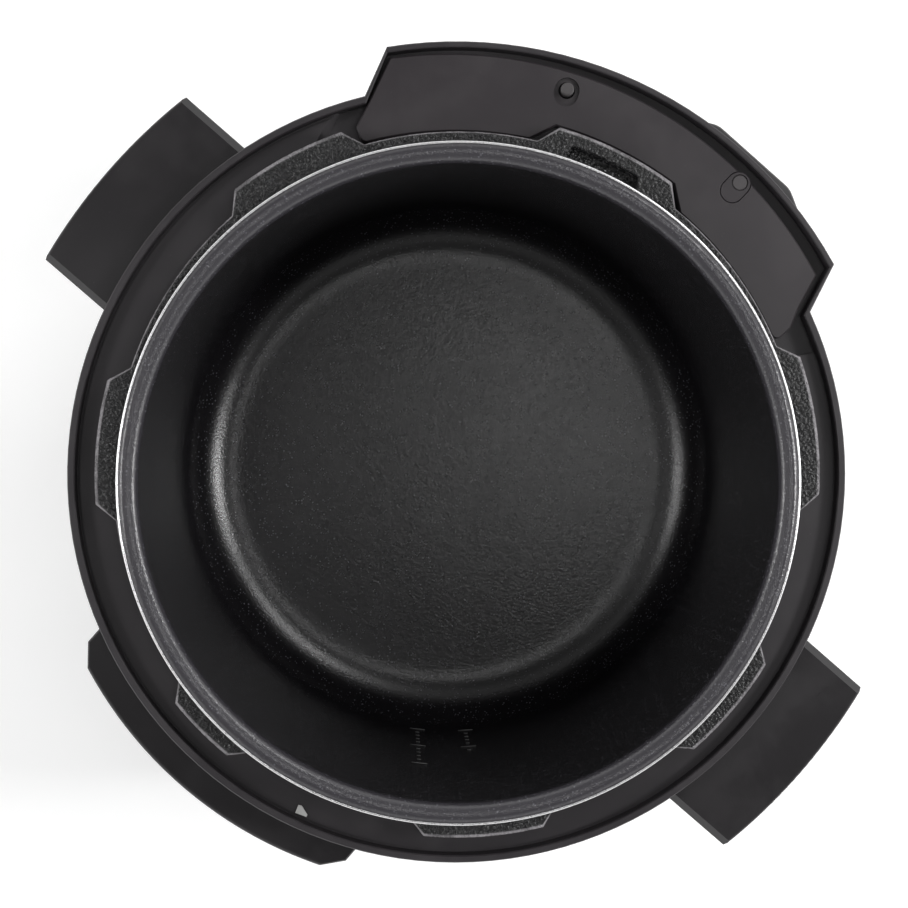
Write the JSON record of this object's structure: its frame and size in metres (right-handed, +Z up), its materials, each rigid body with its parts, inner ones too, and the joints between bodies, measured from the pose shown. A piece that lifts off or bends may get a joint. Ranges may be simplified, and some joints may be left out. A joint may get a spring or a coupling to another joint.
{
  "type": "electric pressure cooker base",
  "caption": "Electric pressure cooker base with its lid off: lift-out non-stick pot, bayonet flange, top ring with rear deck, side grips, control housing and drip cup.",
  "frame": {"origin": "on the housing's axis, at the table plane under the rubber feet", "axes": "+Z up, -Y towards the control panel, +X along the grips"},
  "size_m": [0.3298, 0.3267, 0.218],
  "materials": {
    "pot_lining": "satin non-stick lining with fine flecks",
    "aluminium": "satin",
    "hammered_enamel": "coarse hammered black",
    "steel": "plain zinc plated",
    "black_plastic": "satin moulded",
    "deck_plastic": "smooth satin",
    "light_mark": "matte",
    "pin_plastic": "smooth",
    "brushed_steel": "brushed round the body",
    "rubber": "matte",
    "grip_plastic": "satin moulded",
    "gloss_black": "gloss",
    "smoked_window": "smoked clear",
    "board_green": "solder mask",
    "cable_grey": "matte sleeve",
    "brass": "plain",
    "cup_plastic": "smoke grey satin",
    "button_plastic": "satin"
  },
  "bodies": {
    "base": {"liner": "aluminium", "locking_flange": "hammered_enamel", "flange_screws": "steel", "top_ring": "black_plastic", "deck_plate": "deck_plastic", "pin_guide": "deck_plastic", "alignment_mark": "light_mark", "switch_box": "black_plastic", "closed_pin_spring": "steel", "open_pin_spring": "steel", "lid_switches": "black_plastic", "outer_shell": "brushed_steel", "base_tray": "black_plastic", "rubber_feet": "rubber", "base_screws": "steel", "grip_right": "grip_plastic", "grip_left": "grip_plastic", "grip_screws": "steel", "panel_housing": "grip_plastic", "panel_fascia": "gloss_black", "display_window": "smoked_window", "display_module": "black_plastic", "control_board": "board_green", "button_switches": "black_plastic", "ribbon_cable": "cable_grey", "heating_plate": "aluminium", "heating_element": "steel", "sensor_holder": "black_plastic", "sensor_spring": "steel", "spring_plate": "steel", "pressure_switch": "black_plastic", "thermal_fuse": "steel", "power_board": "board_green", "board_parts": "black_plastic", "power_inlet": "black_plastic", "inlet_pins": "brass", "inlet_screws": "steel", "mains_wires": "cable_grey", "cup_bracket": "black_plastic", "bracket_screws": "steel"},
    "pot": {"inner_pot": "pot_lining"},
    "sensor": {"sensor_cap": "aluminium"},
    "closed_pin": {"lid_closed_pin": "pin_plastic"},
    "open_pin": {"lid_open_pin": "pin_plastic"},
    "cup": {"condensate_cup": "cup_plastic"},
    "button_left_upper": {"button_left_upper": "button_plastic"},
    "button_left_middle": {"button_left_middle": "button_plastic"},
    "button_left_lower": {"button_left_lower": "button_plastic"},
    "button_right_upper": {"button_right_upper": "button_plastic"},
    "button_right_middle": {"button_right_middle": "button_plastic"},
    "button_right_lower": {"button_right_lower": "button_plastic"},
    "button_cancel": {"button_cancel": "button_plastic"},
    "button_start": {"button_start": "button_plastic"}
  },
  "joints": [
    {"name": "pot_lift", "type": "slide", "parent": "base", "child": "pot", "axis": [0, 0, 1], "range_m": [0, 0.17]},
    {"name": "sensor_press", "type": "slide", "parent": "base", "child": "sensor", "axis": [0, 0, 1], "range_m": [-0.003, 0], "stiffness_N_per_m": 300, "springref_m": 0.004, "deforming": ["sensor_spring"]},
    {"name": "lid_closed_press", "type": "slide", "parent": "base", "child": "closed_pin", "axis": [0, 0, -1], "range_m": [0, 0.003], "stiffness_N_per_m": 200, "springref_m": -0.002, "deforming": ["closed_pin_spring"]},
    {"name": "lid_open_press", "type": "slide", "parent": "base", "child": "open_pin", "axis": [0, 0, -1], "range_m": [0, 0.003], "stiffness_N_per_m": 200, "springref_m": -0.002, "deforming": ["open_pin_spring"]},
    {"name": "cup_pull", "type": "slide", "parent": "base", "child": "cup", "axis": [0, 1, 0], "range_m": [0, 0.05]},
    {"name": "press_left_upper", "type": "slide", "parent": "base", "child": "button_left_upper", "axis": [0, 1, 0], "range_m": [0, 0.0008], "stiffness_N_per_m": 800, "springref_m": -0.0006},
    {"name": "press_left_middle", "type": "slide", "parent": "base", "child": "button_left_middle", "axis": [0, 1, 0], "range_m": [0, 0.0008], "stiffness_N_per_m": 800, "springref_m": -0.0006},
    {"name": "press_left_lower", "type": "slide", "parent": "base", "child": "button_left_lower", "axis": [0, 1, 0], "range_m": [0, 0.0008], "stiffness_N_per_m": 800, "springref_m": -0.0006},
    {"name": "press_right_upper", "type": "slide", "parent": "base", "child": "button_right_upper", "axis": [0, 1, 0], "range_m": [0, 0.0008], "stiffness_N_per_m": 800, "springref_m": -0.0006},
    {"name": "press_right_middle", "type": "slide", "parent": "base", "child": "button_right_middle", "axis": [0, 1, 0], "range_m": [0, 0.0008], "stiffness_N_per_m": 800, "springref_m": -0.0006},
    {"name": "press_right_lower", "type": "slide", "parent": "base", "child": "button_right_lower", "axis": [0, 1, 0], "range_m": [0, 0.0008], "stiffness_N_per_m": 800, "springref_m": -0.0006},
    {"name": "press_cancel", "type": "slide", "parent": "base", "child": "button_cancel", "axis": [0, 1, 0], "range_m": [0, 0.0008], "stiffness_N_per_m": 800, "springref_m": -0.0006},
    {"name": "press_start", "type": "slide", "parent": "base", "child": "button_start", "axis": [0, 1, 0], "range_m": [0, 0.0008], "stiffness_N_per_m": 800, "springref_m": -0.0006}
  ]
}
